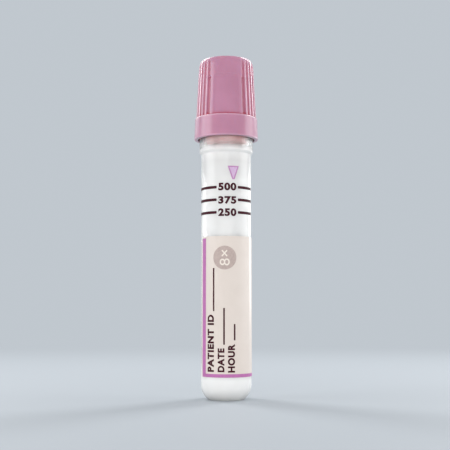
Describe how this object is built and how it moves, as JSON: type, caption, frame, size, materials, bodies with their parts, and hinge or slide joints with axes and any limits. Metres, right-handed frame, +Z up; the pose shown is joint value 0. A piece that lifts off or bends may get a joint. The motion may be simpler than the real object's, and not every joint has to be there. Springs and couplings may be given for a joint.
{
  "type": "blood collection tube",
  "caption": "Small-volume blood collection tube: moulded clear tube with a raised sample well, wrapped label and a fluted pull-off cap with a pierceable rubber stopper.",
  "frame": {"origin": "centre of the ring that the tube stands on", "axes": "+Z up along the tube, -Y the front that the fill marks face, +X to the right of someone who faces the front"},
  "size_m": [0.0166, 0.0166, 0.088],
  "materials": {
    "tube_plastic": "translucent, slightly milky, glossy",
    "label_film": "satin printed film",
    "cap_plastic": "glossy moulded",
    "stopper_rubber": "matte moulded"
  },
  "bodies": {
    "tube": {"tube": "tube_plastic", "label": "label_film"},
    "cap": {"cap_shell": "cap_plastic", "stopper": "stopper_rubber"}
  },
  "joints": [
    {"name": "cap_pull", "type": "slide", "parent": "tube", "child": "cap", "axis": [0, 0, 1], "range_m": [0, 0.03]}
  ]
}
